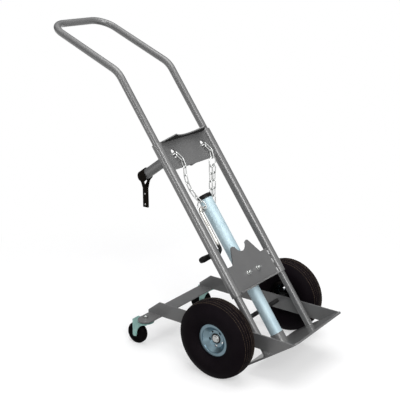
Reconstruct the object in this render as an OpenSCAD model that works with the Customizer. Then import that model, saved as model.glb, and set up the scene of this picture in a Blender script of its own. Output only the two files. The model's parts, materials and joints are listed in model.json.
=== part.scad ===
// Gas cylinder trolley with a lifting cradle, resting on its rear castors.
// X runs across the trolley, Y to the back, Z up. The floor is Z = 0.
// Pieces on the leaning frame are drawn in frame axes: z along the legs, y out of the back.

/* [Frame] */
// Lean of the legs from the vertical, degrees
lean = 35.4; // [32:0.1:38]
// Distance of each leg axis from the centre line
leg_x = 131.5; // [125:0.5:140]
// Outside diameter of the leg and handle tube
leg_d = 25; // [22:0.5:26]
// Wall of the leg and handle tube
leg_wall = 2; // [1.5:0.5:3]
// Forward distance of the leg axis from the axle, at axle height
leg_forward = 103; // [98:1:108]
// Height along the legs where the handle bends back
bend_at = 967; // [930:1:1000]
// Angle of the handle bend, degrees
bend_angle = 31; // [25:1:36]
// Bend radius where the handle leaves the legs
bend_r = 90; // [60:5:120]
// Length of the handle behind the bend
handle_len = 337; // [280:1:380]
// Bend radius of the handle's top corners
corner_r = 62; // [45:1:80]

/* [Base] */
// Thickness of the toe plate
toe_t = 6; // [4:0.5:8]
// Clearance of the toe plate above the floor when the trolley stands upright
toe_lift = 4; // [2:0.5:8]
// Reach of the toe plate in front of the legs
toe_front = 135; // [120:1:160]
// Reach of the toe plate behind the legs
toe_back = 80; // [70:1:90]
// Corner radius of the toe plate
toe_corner_r = 18; // [8:1:30]
// Thickness of the side arms
arm_t = 5; // [4:0.5:8]
// Distance of the side arms' lower edge below the axle
arm_drop = 28; // [24:1:32]
// Depth of the side arms
arm_h = 49; // [44:1:55]
// Distance of the side arms' rear end behind the axle
arm_back = 337; // [330:1:345]
// Length of the sloped corner at the arms' rear end
arm_slope_len = 48; // [40:1:55]
// Height of the sloped corner at the arms' rear end
arm_slope_h = 38; // [30:1:42]
// Half length of the rear cross plate
cross_x = 222; // [218:1:228]
// Depth of the rear cross plate
cross_w = 54; // [50:1:58]
// Thickness of the rear cross plate
cross_t = 5; // [4:0.5:6]

/* [Wheels] */
// Outside diameter of the main wheels
wheel_d = 260; // [250:1:270]
// Width of the main tyres
tyre_w = 84; // [80:1:88]
// Distance of each wheel's middle plane from the centre line
wheel_x = 213; // [208:1:220]
// Height of the tyre above the rim's lip
tyre_h = 76; // [70:1:78]
// Width over the rim's lips
rim_w = 40; // [36:1:42]
// Thickness of the pressed rim
rim_t = 2.5; // [2:0.25:3]
// Number of windows in the rim's disc
rim_windows = 5; // [3:1:6]
// Diameter of the axle
axle_d = 15; // [14:0.5:17]
// Outside diameter of the wheel hub
hub_d = 41; // [39:0.5:43]
// Outside diameter of the hub bearings
bearing_d = 35; // [34:0.5:36]
// Width of a hub bearing
bearing_w = 11; // [9:0.5:12]
// Length of the hub towards the arm, from the wheel's middle plane
hub_in = 28; // [24:0.5:32]
// Length of the hub towards the outside, from the wheel's middle plane
hub_out = 4; // [2:0.5:8]

/* [Castors] */
// Diameter of the castor wheels
castor_d = 75; // [70:1:77]
// Width of the castor wheels
castor_w = 24; // [20:1:26]
// Distance of each castor's swivel axis from the centre line
castor_x = 188; // [184:1:192]
// Distance of each castor's swivel axis in front of the arms' rear end
castor_inset = 21; // [18:1:24]
// Offset of the castor wheel behind its swivel axis
castor_trail = 38; // [36:1:40]
// Turn of the left castor at rest, degrees
castor_turn_left = 0; // [-90:5:90]
// Turn of the right castor at rest, degrees
castor_turn_right = 45; // [-90:5:90]
// Thickness of the castor fork
fork_t = 2.5; // [2:0.25:3]
// Height of the castor fork's cheeks left above their hollow
fork_web = 9.7; // [9:0.1:11]

/* [Carriage] */
// Outside diameter of the sliding sleeves
sleeve_d = 33.7; // [33:0.1:35]
// Inside diameter of the sliding sleeves
sleeve_bore = 28.1; // [28:0.1:29]
// Lower end of the sleeves, along the legs from axle height
sleeve_low = 143; // [130:1:150]
// Length of the sleeves
sleeve_len = 554; // [530:1:575]
// Length of a guide bush in a sleeve's end
bush_len = 30; // [20:1:40]
// Thickness of the upper and lower plates
plate_t = 4; // [3:0.5:5]
// Depth of the upper plate along the legs
upper_h = 102; // [92:1:110]
// Depth of the lower plate below its horns
lower_h = 92; // [85:1:100]
// Height of the horns above the lower plate's shoulders
horn_h = 56; // [50:1:62]
// Distance of the horns' feet from the centre line
horn_foot_x = 80; // [74:1:86]
// Distance of the horns' tip centres from the centre line
horn_tip_x = 42; // [40:0.5:46]
// Tip radius of the horns
horn_tip_r = 9; // [6:0.5:11]
// Radius of the notch between the horns
notch_r = 32; // [26:1:34]
// Reach of the cradle flange's ears in front of the plates
cradle_reach = 46; // [40:1:52]
// Distance of the cradle ears from the centre line
cradle_ear_x = 74; // [68:1:80]
// Radius of the bottle that lies in the cradle
bottle_r = 120; // [115:1:130]
// Distance of the chain slots from the centre line
slot_x = 79; // [74:1:84]
// Length of the chain slots
slot_len = 32; // [30:1:36]
// Width of the chain slots
slot_w = 18; // [16:0.5:20]
// Distance of the chain slots below the upper plate's top
slot_drop = 49; // [44:1:54]
// Diameter of the rear pegs
peg_d = 33; // [31:0.5:33.5]
// Wall of the rear pegs
peg_wall = 3; // [2:0.5:4]
// Reach of the rear pegs behind the leg axes
peg_reach = 124; // [110:1:140]
// Distance of the pegs below the upper plate's top
peg_drop = 63; // [57:1:69]

/* [Jack] */
// Outside diameter of the jack's outer tube
jack_d = 47; // [46.8:0.1:48.5]
// Outside diameter of the jack's inner tube
ram_d = 43; // [42:0.5:43.5]
// Wall of the jack's inner tube
ram_wall = 3; // [2:0.5:4]
// Distance of the jack's axis behind the leg axes
jack_back = 35; // [33:0.5:37]
// Length of the jack's outer tube
jack_len = 332; // [315:1:345]
// Height of the jack's outer tube above the sleeves' lower end
jack_rise = 9; // [6:1:14]
// Upper end of the jack's inner tube, along the legs from axle height
ram_top = 325; // [310:1:335]
// Height of the jack's socket above the toe plate
socket_h = 35; // [30:1:40]
// Diameter of the lift spindle
spindle_d = 16; // [14:0.5:18]
// Distance of the crank shaft below the outer tube's top
crank_drop = 32; // [31.5:0.5:32.5]
// Diameter of the crank rod
crank_d = 12; // [10:0.5:12.5]
// Distance of the crank arm from the centre line
crank_arm_x = 52; // [50:1:56]
// Length of the crank arm
crank_len = 154; // [140:1:158]
// Bend radius of the crank rod
crank_bend_r = 12; // [11:1:13]
// Diameter of the crank grip
grip_d = 21; // [20:0.5:21.5]
// Length of the crank grip
grip_len = 96; // [80:1:100]
// Outside diameter of the crank's boss
boss_d = 18; // [16:0.5:20]

/* [Chains and strap] */
// Diameter of the chain wire
wire_d = 4; // [3.5:0.1:4]
// Length of a chain link inside
link_len = 28; // [27:0.5:29]
// Width of a chain link outside
link_w = 16; // [15.6:0.1:17]
// Play between two chain links
link_play = 0.5; // [0.3:0.1:0.6]
// Links in each hanging strand of the right chain
strand_links = 5; // [2:1:5]
// Links between the upper plate and the left chain's ring
left_links = 5; // [5:1:5]
// Slant of each chain's first link over the plate, degrees
over_slant = 30; // [25:1:32]
// Half turn of the left chain's sag, degrees
left_sag = 25; // [22:1:26]
// Radius of the chain rings at the middle of the wire
ring_r = 18; // [17.5:0.1:19]
// Thickness of the strap
strap_t = 3.5; // [3:0.25:4]
// Width of the strap round the peg
strap_w = 33; // [28:1:34]
// Width of the strap's tail
tail_w = 21; // [18:1:24]
// Length of the strap below the peg's axis
strap_len = 111; // [95:1:120]
// Length below the peg's axis where the strap's two sides meet
strap_meet = 48; // [42:1:55]

/* [Hidden] */
$fn = 64;
run_gap = 0.05;
seat_gap = 0.1;
body_gap = 0.3;
weld_gap = 0.3;

leg_r = leg_d / 2;
wheel_r = wheel_d / 2;
rim_lip_r = wheel_r - tyre_h;
sleeve_r = sleeve_d / 2;
axle_u = leg_forward * sin(lean);
axle_back = leg_forward * cos(lean);
toe_low = axle_u - wheel_r + toe_lift;
toe_top = toe_low + toe_t;
arm_in = leg_x + leg_r + weld_gap;
arm_out = arm_in + arm_t;
bend_run = bend_r * tan(bend_angle / 2);
handle_lean = lean + bend_angle;

// The origin lies under the middle of the whole trolley
front_reach = leg_forward - toe_low * sin(lean) + toe_front * cos(lean);
rear_reach = bend_at * sin(lean) + handle_len * sin(handle_lean) + leg_r - leg_forward;
axle_y = (front_reach - rear_reach) / 2;

arm_low = wheel_r - arm_drop;
castor_y = axle_y + arm_back - castor_inset;
cross_low = arm_low - cross_t;
castor_r = castor_d / 2;
race_h = 6;
race_r = 26;
fork_top = cross_low - race_h - body_gap;
fork_in = castor_w / 2 + 1.5;
castor_stem_r = 5;
castor_pin_r = 4;
hub_r = hub_d / 2;
axle_r = axle_d / 2;
hub_end = wheel_x + hub_out;

plate_y = -plate_t;
plate_half = leg_x - sleeve_r / 2;
lower_low = sleeve_low + 2;
upper_top = sleeve_low + sleeve_len + 2;
upper_low = upper_top - upper_h;
shoulder_z = lower_low + lower_h;
horn_top = shoulder_z + horn_h;
slot_z = upper_top - slot_drop;
peg_z = upper_top - peg_drop;
peg_r = peg_d / 2;
cradle_root_x = leg_x - sleeve_r - 3;
cradle_root_reach = 8;
cradle_floor = 20;

jack_r = jack_d / 2;
ram_r = ram_d / 2;
jack_low = sleeve_low + jack_rise;
jack_top = jack_low + jack_len;
crank_z = jack_top - crank_drop;
crank_r = crank_d / 2;
boss_r = boss_d / 2;
boss_end = crank_arm_x - crank_bend_r - 1;
grip_z = crank_z - crank_len;
grip_r = grip_d / 2;
grip_start = crank_arm_x + crank_bend_r;
nut_len = 25;
bolt_wire_r = 4;
bolt_x = jack_r + bolt_wire_r + seat_gap;
bolt_z = lower_low + lower_h / 2 + 2;

wire_r = wire_d / 2;
link_bend_r = (link_w - wire_d) / 2;
link_half = (link_len + wire_d) / 2;
link_straight = link_len + wire_d - 2 * link_bend_r;
link_step = wire_d + link_play;
link_pitch = 2 * link_half - link_step;
chain_off = plate_t + link_w / 2 + body_gap;
chain_z = slot_z - (slot_len - slot_w) / 2 + 3;
anchor_r = 3;

// Straight down, in frame axes
plumb = [0, sin(lean), -cos(lean)];

function arc(c, r, a0, a1, n = 12) =
  [for (i = [0:n]) c + r * [cos(a0 + (a1 - a0) * i / n), sin(a0 + (a1 - a0) * i / n)]];
function unit(v) = v / norm(v);
function azimuth(d) = atan2(d[1], d[0]);
function tilt(d) = acos(d[2] / norm(d));
// Roll about d that keeps a link's plane level with x
function level_roll(d) = atan2(-sin(azimuth(d)), cos(tilt(d)) * cos(azimuth(d)));

// Frame axes: z along the legs from axle height, y out of the back
module on_frame() {
  translate([0, axle_y - leg_forward, wheel_r])
    rotate([-lean, 0, 0])
      children();
}

// Handle axes: z along the handle behind the bend
module on_handle() {
  on_frame()
    translate([0, 0, bend_at])
      rotate([-bend_angle, 0, 0])
        children();
}

// A wheel's own axes: z along the axle, out of the trolley
module on_wheel(side) {
  translate([0, axle_y, wheel_r])
    mirror([side < 0 ? 1 : 0, 0, 0])
      translate([wheel_x, 0, 0])
        rotate([0, 90, 0])
          children();
}

// A castor's own axes: y trails behind the swivel axis
module on_castor(side) {
  turn = side < 0 ? castor_turn_left : castor_turn_right;
  translate([side * castor_x, castor_y, 0])
    rotate([0, 0, turn])
      children();
}

// Frame axes at the jack's centre line
module on_jack() {
  on_frame()
    translate([0, jack_back, 0])
      children();
}

// Turns z to the direction d
module along(d) {
  rotate([0, tilt(d), azimuth(d)])
    children();
}

module tube(r, bore, h) {
  difference() {
    cylinder(r = r, h = h);
    translate([0, 0, -1])
      cylinder(r = bore, h = h + 2);
  }
}

module leg(side) {
  color("darkgray")
    on_frame()
      translate([side * leg_x, 0, toe_top])
        tube(leg_r, leg_r - leg_wall, bend_at - bend_run - toe_top);
}

// Rods of radius r round the two bends above the legs
module bend_rods(r) {
  for (side = [-1, 1])
    on_frame()
      translate([side * leg_x, bend_r, bend_at - bend_run])
        rotate([90, 0, -90])
          rotate_extrude(angle = bend_angle)
            translate([bend_r, 0])
              circle(r = r);
}

// Rod of radius r round the hoop behind the bends
module hoop_rod(r) {
  on_handle() {
    for (turn = [0, 180])
      rotate([0, 0, turn]) {
        translate([leg_x, 0, bend_run])
          cylinder(r = r, h = handle_len - corner_r - bend_run);
        translate([leg_x - corner_r, 0, handle_len - corner_r])
          rotate([90, 0, 0])
            rotate_extrude(angle = 90)
              translate([corner_r, 0])
                circle(r = r);
      }
    translate([corner_r - leg_x, 0, handle_len])
      rotate([0, 90, 0])
        cylinder(r = r, h = 2 * (leg_x - corner_r));
  }
}

module handle_bends() {
  color("darkgray")
    difference() {
      bend_rods(leg_r);
      bend_rods(leg_r - leg_wall);
    }
}

module handle_hoop() {
  color("darkgray")
    difference() {
      hoop_rod(leg_r);
      hoop_rod(leg_r - leg_wall);
    }
}

module toe_plate() {
  right = arm_out - toe_corner_r;
  front = -toe_front + toe_corner_r;
  color("darkgray")
    on_frame()
      translate([0, 0, toe_low])
        linear_extrude(toe_t)
          polygon(concat(
            [[arm_out, toe_back], [-arm_out, toe_back]],
            arc([-right, front], toe_corner_r, 180, 270),
            arc([right, front], toe_corner_r, 270, 360)));
}

// Side plate on edge: stands on the toe plate in front and carries the axle and the cross plate
module arm(side) {
  top = arm_low + arm_h;
  color("darkgray")
    difference() {
      translate([side > 0 ? arm_in : -arm_out, axle_y, 0])
        rotate([90, 0, 90])
          linear_extrude(arm_t)
            polygon([
              [-front_reach, arm_low], [arm_back, arm_low], [arm_back, top - arm_slope_h],
              [arm_back - arm_slope_len, top], [-front_reach, top]]);
      on_frame()
        translate([-2 * arm_out, -2 * toe_front, toe_top - 2 * wheel_r])
          cube([4 * arm_out, 4 * toe_front, 2 * wheel_r]);
      on_wheel(side)
        translate([0, 0, -wheel_x])
          cylinder(r = axle_r + seat_gap, h = 2 * wheel_x);
    }
}

module rear_plate() {
  color("darkgray")
    difference() {
      translate([0, axle_y + arm_back - cross_w / 2, cross_low])
        linear_extrude(cross_t) {
          square([2 * (cross_x - cross_w / 2), cross_w], center = true);
          for (side = [-1, 1])
            translate([side * (cross_x - cross_w / 2), 0])
              circle(d = cross_w);
        }
      for (side = [-1, 1])
        translate([side * castor_x, castor_y, 0])
          cylinder(r = castor_stem_r + seat_gap, h = 2 * arm_low);
    }
}

module axle() {
  color("dimgray")
    translate([-hub_end - 2, axle_y, wheel_r])
      rotate([0, 90, 0])
        cylinder(r = axle_r, h = 2 * (hub_end + 2));
}

module axle_spacers() {
  spacer_len = wheel_x - hub_in - body_gap - arm_out - seat_gap;
  color("silver")
    for (side = [-1, 1])
      on_wheel(side)
        translate([0, 0, arm_out + seat_gap - wheel_x])
          tube(axle_r + 4, axle_r + seat_gap, spacer_len);
}

// Washer and pressed cap that hold each wheel on the axle
module axle_caps() {
  color("silver")
    for (side = [-1, 1])
      on_wheel(side)
        translate([0, 0, hub_out + body_gap])
          difference() {
            union() {
              cylinder(r = axle_r + 5, h = 1.5);
              cylinder(r = axle_r + 2, h = 6);
            }
            translate([0, 0, -1])
              cylinder(r = axle_r + seat_gap, h = 3);
          }
}

module jack_socket() {
  color("gray")
    on_jack()
      translate([0, 0, toe_top])
        difference() {
          cylinder(r = ram_r + 2, h = socket_h);
          translate([0, 0, 5])
            cylinder(r = ram_r + seat_gap, h = socket_h);
        }
}

module jack_inner_tube() {
  low = toe_top + 5;
  color("lightsteelblue")
    on_jack()
      translate([0, 0, low])
        tube(ram_r, ram_r - ram_wall, ram_top - low);
}

module jack_nut() {
  color("goldenrod")
    on_jack()
      translate([0, 0, ram_top - nut_len])
        tube(ram_r - ram_wall - seat_gap, spindle_d / 2 + run_gap, nut_len);
}

module castor_bolts() {
  nut_h = 8;
  color("silver")
    for (side = [-1, 1])
      translate([side * castor_x, castor_y, 0]) {
        translate([0, 0, arm_low])
          cylinder(r = 9.8, h = nut_h, $fn = 6);
        translate([0, 0, fork_top - 10])
          cylinder(r = castor_stem_r, h = arm_low + nut_h + 3 - fork_top + 10);
        translate([0, 0, fork_top - 10])
          cylinder(r = castor_stem_r + 4, h = 10 - fork_t - 2 * body_gap);
      }
}

// Upper half of each castor's ball race, pressed against the cross plate
module castor_races() {
  color("silver")
    for (side = [-1, 1])
      translate([side * castor_x, castor_y, cross_low - race_h])
        rotate_extrude()
          polygon([
            [castor_stem_r + seat_gap, 0], [race_r - 4, 0], [race_r, 2.5], [race_r, 4.5], [race_r - 3, race_h],
            [castor_stem_r + seat_gap, race_h]]);
}

module sleeve(side) {
  color("darkgray")
    on_frame()
      translate([side * leg_x, 0, sleeve_low])
        tube(sleeve_r, sleeve_bore / 2, sleeve_len);
}

module guide_bushes() {
  color("black")
    on_frame()
      for (side = [-1, 1], z = [sleeve_low, sleeve_low + sleeve_len - bush_len])
        translate([side * leg_x, 0, z])
          tube(sleeve_bore / 2 - run_gap, leg_r + run_gap, bush_len);
}

module sleeve_cut() {
  for (side = [-1, 1])
    translate([side * leg_x, 0, 0])
      cylinder(r = sleeve_r, h = 2 * bend_at);
}

// Flange in front of a plate, hollowed to the bottle and drawn in towards the sleeves
module cradle_flange() {
  mid = cradle_floor + bottle_r;
  linear_extrude(plate_t)
    difference() {
      polygon([
        [-cradle_root_x, 0], [-cradle_root_x, -cradle_root_reach],
        [-cradle_ear_x - 6, -cradle_reach], [-cradle_ear_x + 6, -cradle_reach],
        [cradle_ear_x - 6, -cradle_reach], [cradle_ear_x + 6, -cradle_reach],
        [cradle_root_x, -cradle_root_reach], [cradle_root_x, 0]]);
      translate([0, -mid])
        circle(r = bottle_r, $fn = 180);
    }
}

// A slot drawn across x with its length along y
module slot_shape() {
  run = slot_len - slot_w;
  translate([-slot_w / 2, -run / 2])
    square([slot_w, run]);
  for (end = [-1, 1])
    translate([0, end * run / 2])
      circle(d = slot_w);
}

module upper_plate() {
  color("darkgray")
    on_frame()
      difference() {
        union() {
          translate([-plate_half, plate_y, upper_low])
            cube([2 * plate_half, plate_t, upper_h]);
          translate([0, plate_y, upper_top - plate_t])
            cradle_flange();
        }
        sleeve_cut();
        for (side = [-1, 1])
          translate([side * slot_x, 1, slot_z])
            rotate([90, 0, 0])
              linear_extrude(plate_t + 2)
                slot_shape();
      }
}

// Two rounded horns with the jack's notch between them
module horn_outline() {
  tip = [horn_tip_x, horn_top - horn_tip_r];
  foot = [horn_foot_x, shoulder_z];
  lean_out = atan2(horn_foot_x - horn_tip_x, horn_h - horn_tip_r);
  difference() {
    polygon(concat(
      [foot],
      arc(tip, horn_tip_r, lean_out - 10, 140),
      [for (p = arc(tip, horn_tip_r, 140, lean_out - 10)) [-p[0], p[1]]],
      [[-foot[0], foot[1]]]));
    translate([0, horn_top + 5])
      circle(r = notch_r);
  }
}

module lower_plate() {
  color("darkgray")
    on_frame()
      difference() {
        union() {
          rotate([90, 0, 0])
            linear_extrude(plate_t) {
              translate([-plate_half, lower_low])
                square([2 * plate_half, lower_h]);
              horn_outline();
            }
          translate([0, plate_y, lower_low])
            cradle_flange();
        }
        sleeve_cut();
        for (side = [-1, 1])
          translate([side * bolt_x, 1, bolt_z])
            rotate([90, 0, 0])
              cylinder(r = bolt_wire_r + seat_gap, h = plate_t + 2);
      }
}

module peg(side) {
  color("darkgray")
    on_frame()
      difference() {
        translate([side * leg_x, 0, peg_z])
          rotate([-90, 0, 0])
            tube(peg_r, peg_r - peg_wall, peg_reach);
        sleeve_cut();
      }
}

module peg_plugs() {
  plug_r = peg_r - peg_wall - seat_gap;
  color("black")
    on_frame()
      for (side = [-1, 1])
        translate([side * leg_x, peg_reach, peg_z])
          rotate([-90, 0, 0])
            rotate_extrude()
              polygon([
                [0, -15], [plug_r, -15], [plug_r, 0], [peg_r, 0],
                [peg_r, 2], [peg_r - 2, 4], [0, 4]]);
}

module jack_outer_tube() {
  color("lightsteelblue")
    on_jack()
      difference() {
        translate([0, 0, jack_low])
          tube(jack_r, ram_r + run_gap, jack_len);
        translate([-jack_d, 0, crank_z])
          rotate([0, 90, 0])
            cylinder(r = crank_r + body_gap, h = jack_d);
      }
}

module jack_cap() {
  wall = 2.4;
  skirt = 7;
  head = 8;
  color("black")
    on_jack()
      translate([0, 0, jack_top])
        rotate_extrude()
          polygon([
            [0, 0], [jack_r + seat_gap, 0], [jack_r + seat_gap, -skirt],
            [jack_r + wall, -skirt], [jack_r + wall, head - 4], [jack_r + wall - 1.5, head - 1],
            [jack_r - 3, head], [0, head]]);
}

// Block behind the lower plate that the jack's tube beds into
module jack_saddle() {
  saddle_half = 16;
  saddle_h = 30;
  color("dimgray")
    on_frame()
      difference() {
        translate([-saddle_half, 0, bolt_z - saddle_h / 2])
          cube([2 * saddle_half, jack_back / 2, saddle_h]);
        translate([0, jack_back, 0])
          cylinder(r = jack_r, h = bend_at);
      }
}

module u_bolt() {
  front = plate_t + 14;
  color("silver")
    on_jack()
      translate([0, 0, bolt_z]) {
        rotate_extrude(angle = 180)
          translate([bolt_x, 0])
            circle(r = bolt_wire_r);
        for (side = [-1, 1])
          translate([side * bolt_x, 0, 0])
            rotate([90, 0, 0])
              cylinder(r = bolt_wire_r, h = jack_back + front);
      }
}

module u_bolt_nuts() {
  washer_t = 1.6;
  nut_t = 6.5;
  color("silver")
    on_frame()
      for (side = [-1, 1])
        translate([side * bolt_x, plate_y, bolt_z])
          rotate([90, 0, 0])
            difference() {
              union() {
                cylinder(r = 8.5, h = washer_t);
                translate([0, 0, washer_t])
                  cylinder(r = 7.5, h = nut_t, $fn = 6);
              }
              translate([0, 0, -1])
                cylinder(r = bolt_wire_r + seat_gap, h = nut_t + washer_t + 2);
            }
}

// Axes of the crank shaft: z points out of the jack's left side
module on_crank() {
  on_jack()
    translate([0, 0, crank_z])
      rotate([0, -90, 0])
        children();
}

module crank_boss() {
  color("silver")
    difference() {
      on_crank()
        tube(boss_r, crank_r + run_gap, boss_end);
      on_jack()
        cylinder(r = jack_r, h = bend_at);
    }
}

// One bent rod: shaft in the boss, arm along the jack, pin for the grip
module crank_rod() {
  arm_run = crank_len - 2 * crank_bend_r;
  color("silver")
    on_crank() {
      cylinder(r = crank_r, h = crank_arm_x - crank_bend_r);
      translate([-crank_bend_r, 0, crank_arm_x - crank_bend_r])
        rotate([90, 0, 0])
          rotate_extrude(angle = 90)
            translate([crank_bend_r, 0])
              circle(r = crank_r);
      translate([-crank_bend_r, 0, crank_arm_x])
        rotate([0, -90, 0])
          cylinder(r = crank_r, h = arm_run);
      translate([-crank_bend_r - arm_run, 0, crank_arm_x + crank_bend_r])
        rotate([90, 0, 0])
          rotate([0, 0, 180])
            rotate_extrude(angle = 90)
              translate([crank_bend_r, 0])
                circle(r = crank_r);
      translate([-crank_len, 0, grip_start])
        cylinder(r = crank_r, h = grip_len + 1);
      translate([-crank_len, 0, grip_start + grip_len + 1])
        cylinder(r = crank_r + 3, h = 2);
    }
}

module crank_grip() {
  bore = crank_r + run_gap;
  low = 0.5;
  color("black")
    on_crank()
      translate([-crank_len, 0, grip_start])
        rotate_extrude()
          polygon([
            [bore, low], [grip_r - 3, low], [grip_r - 1, 2], [grip_r, 6],
            [grip_r - 1.5, grip_len / 2], [grip_r, grip_len - 8],
            [grip_r - 1, grip_len - 2], [grip_r - 3, grip_len], [bore, grip_len]]);
}

module jack_spindle() {
  low = jack_low + 13;
  high = crank_z - 13;
  color("silver")
    on_jack() {
      translate([0, 0, low])
        cylinder(r = spindle_d / 2, h = high - low);
      translate([0, 0, high - 8])
        cylinder(r = ram_r - body_gap, h = 8);
    }
}

// Chain link in the xz plane, its length along z
module chain_link() {
  for (side = [-1, 1]) {
    translate([side * link_bend_r, 0, -link_straight / 2])
      cylinder(r = wire_r, h = link_straight, $fn = 24);
    translate([0, 0, side * link_straight / 2])
      rotate([side * 90, 0, 0])
        rotate_extrude(angle = 180, $fn = 24)
          translate([link_bend_r, 0])
            circle(r = wire_r);
  }
}

// Link through a slot, turned to follow the chain over the plate
module slot_link(x, turn) {
  translate([x, link_half - chain_off - link_step, chain_z])
    along([0, -1, 0])
      rotate([0, 0, turn])
        chain_link();
}

// One link with its middle at p, along d
module link_at(p, d, turn) {
  translate(p)
    along(d)
      rotate([0, 0, level_roll(d) + turn])
        chain_link();
}

// Links in a row from the point p along d, the first link's end at p, its plane turned from x
module strand(p, d, count, pitch, turn) {
  for (i = [0:count - 1])
    link_at(p + unit(d) * (link_half + i * pitch), d, turn + 90 * i);
}

// A link's length from its middle to the middle of a bend, and on to the next link's middle
bend_from = link_half - link_bend_r;
bend_to = link_half + link_bend_r - link_step;
bend_play = 1.8;

// Way along the plate, slanted from straight down
function slanted(a) = [sin(a), 0, -cos(a)];
// Middles of the two links that lie over the plate, from a slot at x
function over_first(x) = [x, -chain_off, chain_z] + link_half * slanted(over_slant);
function over_next(x, back) = over_first(x) + bend_from * slanted(over_slant) + bend_to * slanted(-back);
// Place where the chain hangs on from the second of them
function over_end(x, back, play) =
  over_next(x, back) + bend_from * slanted(-back)
  + (link_bend_r - link_step + play) * unit(slanted(-back) + plumb);

// Links through a slot and over the plate
module over_plate(x, back) {
  slot_link(x, over_slant);
  link_at(over_first(x), slanted(over_slant), 0);
  link_at(over_next(x, back), slanted(-back), 90);
}

// Staple behind a slot that holds the chain's first link
module chain_anchors() {
  back = 2 * link_half - chain_off - link_step - wire_r - anchor_r - seat_gap;
  half = slot_w / 2 + anchor_r + 1;
  color("darkgray")
    on_frame()
      for (side = [-1, 1])
        translate([side * slot_x, 0, chain_z]) {
          translate([-half, back, 0])
            rotate([0, 90, 0])
              cylinder(r = anchor_r, h = 2 * half);
          for (end = [-1, 1])
            translate([end * half, 0, 0])
              rotate([-90, 0, 0])
                cylinder(r = anchor_r, h = back + anchor_r);
        }
}

// The left chain slants over the plate, then sags to a ring round the crank's boss
module chain_left() {
  back = over_slant / 2.5;
  ring_play = 3;
  start = over_end(-slot_x, back, bend_play);
  boss = [-(boss_end - wire_r - 1), jack_back, crank_z];
  pull = unit([0, start[1] - boss[1], start[2] - boss[2]]);
  ring_mid = boss + pull * (ring_r - wire_r - boss_r - body_gap);
  end = ring_mid + pull * (ring_r - ring_play);
  chord = unit(end - start);
  sag = unit(plumb - chord * (plumb * chord));
  sag_r = norm(end - start) / (2 * sin(left_sag));
  at = [for (i = [0:left_links]) let (a = left_sag * (2 * i / left_links - 1))
    (start + end) / 2 + sag_r * (sin(a) * chord + (cos(a) - cos(left_sag)) * sag)];
  color("silver")
    on_frame() {
      over_plate(-slot_x, back);
      for (i = [0:left_links - 1])
        link_at((at[i] + at[i + 1]) / 2, at[i + 1] - at[i], 90 * i);
      translate(ring_mid)
        rotate([0, 90, 0])
          rotate_extrude($fn = 48)
            translate([ring_r, 0])
              circle(r = wire_r);
    }
}

// The right chain ends in a ring with two strands that hang plumb
module chain_right() {
  back = over_slant / 1.5;
  ring_lift = 0.4;
  ring_mid = over_end(slot_x, back, -ring_lift) + ring_r * plumb;
  reach = ring_r - link_step;
  spread = 0.68;
  drop = sqrt(1 - spread * spread);
  color("silver")
    on_frame() {
      over_plate(slot_x, back);
      translate(ring_mid)
        along(plumb)
          rotate([90, 0, 0])
            rotate([0, 90, 0])
              rotate_extrude($fn = 48)
                translate([ring_r, 0])
                  circle(r = wire_r);
      for (side = [-1, 1])
        strand(ring_mid + reach * (side * spread * [1, 0, 0] + drop * plumb),
          plumb, strand_links, link_pitch, 90);
    }
}

// Tyre with a ribbed tread, hollow round its rim
module tyre(side) {
  half = tyre_w / 2;
  lip = rim_lip_r + seat_gap;
  bead = rim_w / 2 - 3;
  groove = 3;
  rib = half / 5;
  color("dimgray")
    on_wheel(side)
      rotate_extrude($fn = 96)
        difference() {
          polygon(concat(
            [[lip, -bead - 4], [lip + 8, -bead - 10]],
            arc([wheel_r - half, 0], half, -122, -52, 10),
            [for (i = [-3:3]) each [
              [wheel_r - 0.9 * abs(i) - (abs(i) == 3 ? 3 : 0), (i - 0.32) * rib],
              [wheel_r - 0.9 * abs(i) - (abs(i) == 3 ? 3 : 0), (i + 0.32) * rib],
              [wheel_r - 0.9 * abs(i) - groove - 1, (i + 0.38) * rib],
              [wheel_r - 0.9 * abs(i) - groove - 1, (i + 0.62) * rib]]],
            arc([wheel_r - half, 0], half, 52, 122, 10),
            [[lip + 8, bead + 10], [lip, bead + 4]]));
          polygon(concat(
            [[lip - 10, -bead + 6]],
            arc([wheel_r - half, 0], half - 9, -125, 125, 24),
            [[lip - 10, bead - 6]]));
        }
}

// Pressed rim: lips, well, dished outer face and a windowed disc round the hub
module rim(side) {
  lip = rim_lip_r;
  well = lip - 8;
  half = rim_w / 2;
  disc_r = 29;
  disc_at = hub_out - 2;
  window_in = hub_r + 1.5;
  window_out = disc_r - 1.5;
  color("silver")
    on_wheel(side)
      difference() {
        rotate_extrude($fn = 96)
          polygon([
            [well, -half + rim_t], [lip, -half + rim_t], [lip, -half], [well - rim_t, -half],
            [well - rim_t, half - 6], [disc_r, disc_at], [hub_r + seat_gap, disc_at],
            [hub_r + seat_gap, disc_at + rim_t], [disc_r - 1, disc_at + rim_t],
            [well - rim_t, half - 3], [well - rim_t, half], [lip, half],
            [lip, half - rim_t], [well, half - rim_t]]);
        for (i = [0:rim_windows - 1])
          rotate([0, 0, 360 * i / rim_windows])
            translate([window_in, -5, disc_at - 1])
              cube([window_out - window_in, 10, rim_t + 2]);
      }
}

// Hub tube with a step in the middle that keeps the bearings apart
module hub(side) {
  length = hub_in + hub_out;
  color("silver")
    on_wheel(side)
      translate([0, 0, -hub_in])
        difference() {
          cylinder(r = hub_r, h = length);
          translate([0, 0, -1])
            cylinder(r = axle_r + 4, h = length + 2);
          for (z = [-1, length - bearing_w])
            translate([0, 0, z])
              cylinder(d = bearing_d + 2 * run_gap, h = bearing_w + 1);
        }
}

module bearings(side) {
  color("dimgray")
    on_wheel(side)
      for (z = [-hub_in, hub_out - bearing_w])
        translate([0, 0, z])
          tube(bearing_d / 2, axle_r + run_gap, bearing_w);
}

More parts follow.
